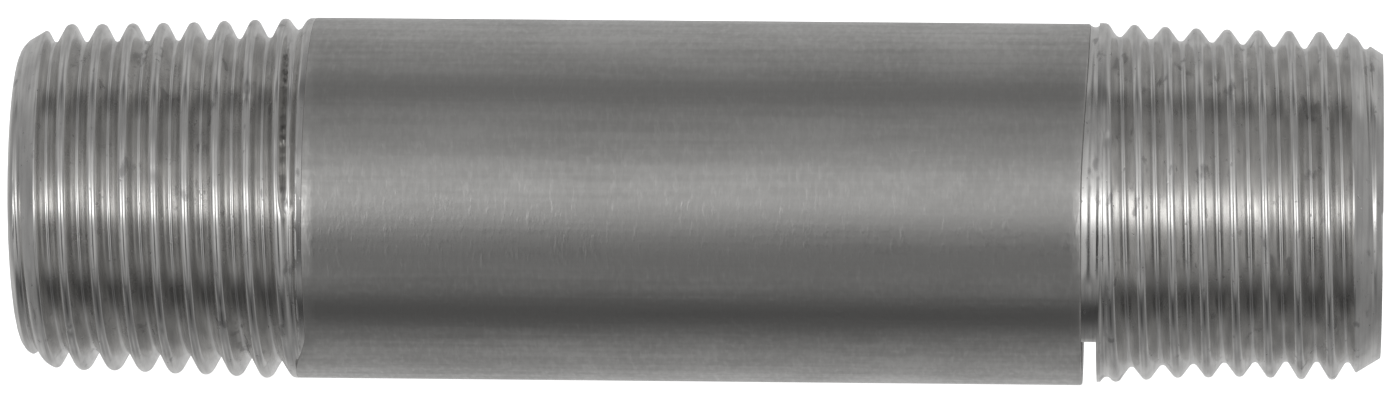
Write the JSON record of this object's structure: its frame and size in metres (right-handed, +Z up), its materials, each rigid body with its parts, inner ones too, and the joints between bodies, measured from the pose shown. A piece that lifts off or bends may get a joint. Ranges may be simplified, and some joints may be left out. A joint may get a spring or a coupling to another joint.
{
  "type": "threaded pipe nipple",
  "caption": "Stainless steel barrel nipple for half-inch pipe: plain satin pipe in the middle, a bright right-hand taper thread cut on each end, and an open bore.",
  "frame": {"origin": "centre of the nipple: on the bore's axis, halfway between the two end faces", "axes": "+X along the bore, towards the threaded end that has the turned band and gap beside it; +Z up, away from the gap; +Y away from the viewer"},
  "size_m": [0.08, 0.0212, 0.0212],
  "materials": {
    "satin_stainless": "satin drawn pipe, with fine marks round it and along it",
    "machined_stainless": "bright as cut, with turning marks and a few torn crests"
  },
  "bodies": {
    "root": {"left_thread": "machined_stainless", "barrel": "satin_stainless", "relief_neck": "machined_stainless", "right_thread": "machined_stainless"}
  },
  "joints": []
}
